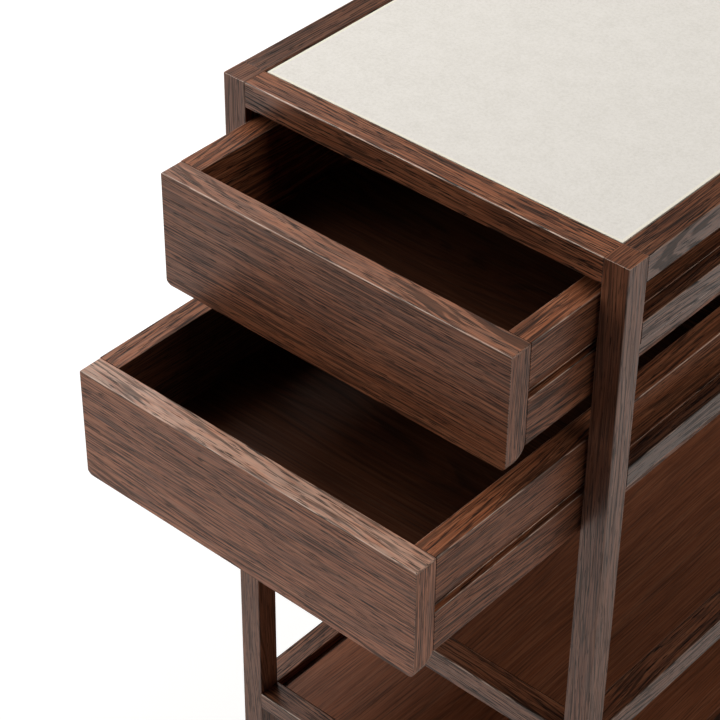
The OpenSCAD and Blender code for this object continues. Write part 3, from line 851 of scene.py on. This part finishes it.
# Battens inside a node's box, one along each of its sides.
def cleatPieces(node, sideWidth):
    low, high = span(node)
    width, gap = boards["cleatWidth"], boards["cleatGap"]
    y0, y1 = low[1] + width + gap, high[1] - width - gap
    rows = (("front", "x", low, (high[0], low[1] + width, high[2])),
            ("rear", "x", (low[0], high[1] - width, low[2]), high),
            ("left", "y", (low[0], y0, low[2]), (low[0] + sideWidth, y1, high[2])),
            ("right", "y", (high[0] - sideWidth, y0, low[2]), (high[0], y1, high[2])))
    for name, grain, rowLow, rowHigh in rows:
        boardPiece("cleat.%s.%s" % (node, name), rowLow, rowHigh, grain, boards["edge"], boards["edge"],
                   nextSpot(), boards["cleatPaintedShade"], "carcass", oakFrame, "oak_board", node)


cleatPieces("top_cleats", boards["cleatWidth"])
cleatPieces("mid_shelf_cleats", boards["cleatWidth"])
cleatPieces("low_shelf_cleats", boards["lowCleatWidth"])


# drawers

drawer = {
    "edge": 0.8 * mm,          # rounding of the edges
    "innerEdge": 0.25 * mm,
    "backEdge": 0.5 * mm,      # rounding of a front's edge against the sides
    "frontTop": 2.2 * mm,      # corner radii of a front's face
    "frontLow": 7.0 * mm,
    "frontStations": 11,       # sections over each end of a front
    "footRound": 14.5 * mm,    # rounding at the back of the foot
    "footSteps": 6,
    "grooveHeight": 8.5 * mm,
    "grooveDepth": 9.0 * mm,
    "grooveEdge": 0.6 * mm,
    "bead": 1.0 * mm,          # height of a bead along the groove's upper edge
    "beadInset": 0.6 * mm,
    "beadEdge": 0.4 * mm,
    "easeHeight": 4.5 * mm,    # over the bead the side's face is eased back
    "easeDepth": 2.0 * mm,
    "easeRound": 19.0 * mm,
    # painted shade, dark and dull, on the eased face over the bead
    "easePaintedShade": -0.7,
    "grooveDrop": {"upper": 53.0 * mm, "lower": 57.5 * mm},
    "bottomLift": 10.0 * mm,
    "bottomHousing": 8.2 * mm,
    "housingDepth": 6.0 * mm,
    "heart": {"upper": (40.0, 100.0), "lower": (60.0, 75.0)},    # a front's place across and in depth
    "frontShade": {"upper": 1.40, "lower": 1.85},
    "topRubAndSheen": {"upper": 0.08, "lower": 0.40},    # pale wear on a front's top, on the lower front mostly a painted sheen
    "topNormal": 0.9,          # the top ends where its normals point less upwards than this
    "leftPaintedShade": -0.8,           # painted shade on a front's left upright edges
    # wear and painted highlight on a front's right upright edges
    "rightRubAndHighlight": 0.5,
    "sideShade": 1.4,
    # shade of a drawer's inner faces and back; the lower drawer's 0.5 is painted shade for its dark inside
    "insidePaintedShade": {"upper": 1.4, "lower": 0.5},
    "insideSkin": 0.3 * mm,    # points nearer the inner face than this have its shade,
    "insideDrop": 0.64 * mm,   # if they lie further than this under the top
    # painted shade on the drawers' bottoms, for the dark inside them
    "bottomPaintedShade": 0.40,
    "joint": 0.45 * mm,        # shadow joint between a front and its sides
}


# The section of the front, with its rounded foot, carried along X. Near both ends the top comes
# down and the bottom comes up along the circles of the face's corners. The lower front arris and the
# left ends are painted dark with shade; the upper front arris and the right ends are pale as wear and
# painted highlight, and the top is rubbed pale, on the lower front mostly as a painted sheen.
def drawerFront(level, heart):
    node = level + "_drawer_front"
    low, high = span(node)
    edge = drawer["edge"]
    section = [(low[1], low[2], edge, dark), (high[1], low[2], drawer["footRound"], 0.0),
               (high[1], high[2], drawer["backEdge"], faint), (low[1], high[2], edge, bright)]
    reach = max(drawer["frontLow"], drawer["frontTop"])
    curve = reach * (1 - np.sin(np.linspace(0, np.pi / 2, drawer["frontStations"])))[::-1]
    place = np.concatenate([low[0] + curve, (high[0] - curve)[::-1]])
    distance = np.minimum(place - low[0], high[0] - place)
    inset = np.where(distance < edge, edge - np.sqrt(np.maximum(edge**2 - (edge - distance) ** 2, 0)), 0.0)
    lean = np.where(distance < edge, np.arccos(np.clip(1 - inset / edge, -1, 1)), 0.0)
    atLeft = place < (low[0] + high[0]) / 2

    def drop(radius, away):
        short = np.maximum(radius - away, 0)
        return radius - np.sqrt(np.maximum(radius**2 - short**2, 0))

    def lift(place, points):
        away = np.minimum(place - low[0], high[0] - place)[:, None]
        upper = points[None, :, 1] > (low[2] + high[2]) / 2
        move = np.where(upper, -drop(drawer["frontTop"], away), drop(drawer["frontLow"], away))
        return np.stack([np.zeros_like(move), move], 2)

    points, normals, wearAndPaintedLight = roundedLoop(section, drawer["footSteps"])
    onTop = normals[:, 1] > drawer["topNormal"]
    wearAndPaintedLight = np.where(onTop, np.maximum(wearAndPaintedLight, drawer["topRubAndSheen"][level]), wearAndPaintedLight)
    frontEndWearAndLight = np.where(atLeft, drawer["leftPaintedShade"], drawer["rightRubAndHighlight"]) * np.sin(2 * lean)
    ends = (place, inset, np.where(atLeft, -lean, lean), frontEndWearAndLight[:, None])
    piece = sweep("front." + level, (points, normals, wearAndPaintedLight), "x", ends, lift)
    sawFrom(piece, "x", heart, drawer["frontShade"][level])
    finishPiece(piece, level + "_drawer", oakFront, "oak_drawer", node)


# The section of a side with the runner's groove outside, a bead along the groove's upper edge, over
# which the face is eased back, and the bottom's housing inside. The groove's lower lip, the bead and
# the top outer arris are pale as wear and painted highlight, the eased face is painted dark and dull
# with shade, and the inner face has its own shade, on the lower drawer a painted shade.
def drawerSide(level, side):
    node = "%s_drawer_%s_side" % (level, side)
    low, high, sign, outer, inner = sideSpan(node, side)
    edge, sharp, groove = drawer["edge"], drawer["innerEdge"], drawer["grooveEdge"]
    grooveTop = high[2] - drawer["grooveDrop"][level]
    grooveLow = grooveTop - drawer["grooveHeight"]
    floor = outer - sign * drawer["grooveDepth"]
    housing = inner + sign * drawer["housingDepth"]
    housingLow = low[2] + drawer["bottomLift"]
    housingTop = housingLow + drawer["bottomHousing"]
    bead = outer - sign * drawer["beadInset"]
    beadTop = grooveTop + drawer["bead"]
    eased = outer - sign * drawer["easeDepth"]
    section = [(outer, low[2], edge, soft), (outer, grooveLow, groove, bright),
               (floor, grooveLow, sharp, 0.0), (floor, grooveTop, sharp, 0.0), (bead, grooveTop, sharp, soft),
               (bead, beadTop, drawer["beadEdge"], bright), (eased, beadTop, sharp, drawer["easePaintedShade"]),
               (outer, beadTop + drawer["easeHeight"], drawer["easeRound"], drawer["easePaintedShade"]),
               (outer, high[2], edge, bright), (inner, high[2], edge, soft), (inner, housingTop, sharp, 0.0),
               (housing, housingTop, sharp, 0.0), (housing, housingLow, sharp, 0.0),
               (inner, housingLow, sharp, 0.0), (inner, low[2], edge, faint)]

    # The inner face takes the inside's painted shade.
    def shade(spots):
        inside = np.abs(spots[:, 0] - inner) < drawer["insideSkin"]
        inside &= spots[:, 2] < high[2] - drawer["insideDrop"]
        return np.where(inside, drawer["insidePaintedShade"][level], drawer["sideShade"])

    sidePiece("side.%s.%s" % (level, side), sign, section, low[1] + drawer["joint"], high[1], sharp, shade,
              level + "_drawer", oakDrawer, "oak_drawer", node)


def drawerBox(level):
    drawerFront(level, (nextSpot()[0], *drawer["heart"][level]))
    for side in ("left", "right"):
        drawerSide(level, side)
    low, high = span(level + "_drawer_back")
    # The back takes the inside's painted shade too.
    boardPiece("back." + level, low, high, "x", drawer["edge"], drawer["innerEdge"], nextSpot(),
               drawer["insidePaintedShade"][level], level + "_drawer", oakDrawer, "oak_drawer",
               level + "_drawer_back", edgeWearAndLight=[faint, faint, soft, soft])
    low, high = span(level + "_drawer_bottom")
    boardPiece("bottom." + level, low, high, "x", boards["edge"], boards["edge"], nextSpot(),
               drawer["bottomPaintedShade"], level + "_drawer", oakInside, "oak_board", level + "_drawer_bottom")


drawerBox("upper")
drawerBox("lower")


# castors, which keep their own shapes

castorFinish = {"_fork": castorMetal, "_axle": castorMetal, "_sleeves": castorMetal, "_wheel": hubPlastic,
                "_tyre": tyreRubber}
for name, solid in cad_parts.items():
    for ending, material in castorFinish.items():
        if name.endswith(ending):
            solid.data.materials.clear()
            solid.data.materials.append(material)


# floor, backdrop and lamps

studio = {
    "floorColour": (0.80, 0.81, 0.83),
    "floorHalf": 14.0,         # metres
    # strength and colour of what is seen of the floor besides its lit colour
    "glow": (0.48, (1.0, 1.0, 1.0)),
    "glossGlow": (0.29, (1.0, 0.92, 0.81)),
    "sky": (0.93, 0.95, 1.0),
    "skyStrength": 0.01,
    "target": (0.0, 0.0, 0.6),
    "distance": 3.6,           # metres from the target to each lamp
    "lampSize": 2.0,
    "lampColour": (1.0, 0.970, 0.925),
    # azimuth, elevation and watts: 0 stands in front of the drawers, 90 to their right
    "lamps": {
        "leftBack": (-106.0, 52.0, 56.0),
        "left": (-75.0, 50.0, 30.0),
        "leftLow": (-45.0, 18.0, 32.0),
        "front": (-45.0, 50.0, 16.0),
        "right": (105.0, 50.0, 36.0),
        "backLow": (150.0, 18.0, 24.0),
    },
}


def makeLamp(values, name, azimuth, elevation, watts):
    turn, rise = math.radians(azimuth), math.radians(elevation)
    back = np.array([math.sin(turn) * math.cos(rise), -math.cos(turn) * math.cos(rise), math.sin(rise)])
    right = np.array([math.cos(turn), math.sin(turn), 0.0])
    lamp = bpy.data.lights.new(name, "AREA")
    lamp.size = values["lampSize"]
    lamp.color = values["lampColour"]
    lamp.energy = watts
    holder = bpy.data.objects.new(name, lamp)
    bpy.context.scene.collection.objects.link(holder)
    place = np.array(values["target"]) + values["distance"] * back
    holder.matrix_world = standAt(place, right, np.cross(back, right), back)


# The floor is plain paint for light that bounces. What is seen of it directly has a glow besides,
# and what is seen of it in a gloss has a lesser one.
def makeFloor(values):
    tree = Tree("paleFloor")
    ray = tree.node("ShaderNodeLightPath")
    mirrored = tree.node("ShaderNodeMath", {"operation": "MAXIMUM"},
                         {0: ray.part("Is Glossy Ray"), 1: ray.part("Is Transmission Ray")})
    paint = tree.node("ShaderNodeBsdfDiffuse", {}, {"Color": (*values["floorColour"], 1.0)})
    glowing = []
    for strength, colour in (values["glow"], values["glossGlow"]):
        glow = tree.node("ShaderNodeEmission", {}, {"Color": (*colour, 1.0), "Strength": strength})
        glowing.append(tree.node("ShaderNodeAddShader", {}, {0: paint, 1: glow}))
    inGloss = tree.node("ShaderNodeMixShader", {}, {0: mirrored, 1: paint, 2: glowing[1]})
    seen = tree.node("ShaderNodeMixShader", {}, {0: ray.part("Is Camera Ray"), 1: inGloss, 2: glowing[0]})
    half = values["floorHalf"]
    spots = np.array([[-half, -half, 0], [half, -half, 0], [half, half, 0], [-half, half, 0]])
    floor = meshPiece("floor", spots, [[0, 1, 2, 3]])
    floor.data.materials.append(tree.show(seen))


# The camera sees white behind the floor, and a faint sky lights the trolley besides the lamps.
def makeWorld(values):
    world = bpy.data.worlds.new("studio")
    world.use_nodes = True
    nodes, links = world.node_tree.nodes, world.node_tree.links
    nodes.clear()
    path = nodes.new("ShaderNodeLightPath")
    sky = nodes.new("ShaderNodeBackground")
    sky.inputs["Color"].default_value = (*values["sky"], 1.0)
    sky.inputs["Strength"].default_value = values["skyStrength"]
    white = nodes.new("ShaderNodeBackground")
    white.inputs["Color"].default_value = (1.0, 1.0, 1.0, 1.0)
    mix = nodes.new("ShaderNodeMixShader")
    out = nodes.new("ShaderNodeOutputWorld")
    links.new(path.outputs["Is Camera Ray"], mix.inputs[0])
    links.new(sky.outputs[0], mix.inputs[1])
    links.new(white.outputs[0], mix.inputs[2])
    links.new(mix.outputs[0], out.inputs["Surface"])
    bpy.context.scene.world = world


for name, (azimuth, elevation, watts) in studio["lamps"].items():
    makeLamp(studio, name, azimuth, elevation, watts)
makeFloor(studio)
makeWorld(studio)
bpy.context.scene.view_settings.view_transform = "Standard"
print("studio ready")
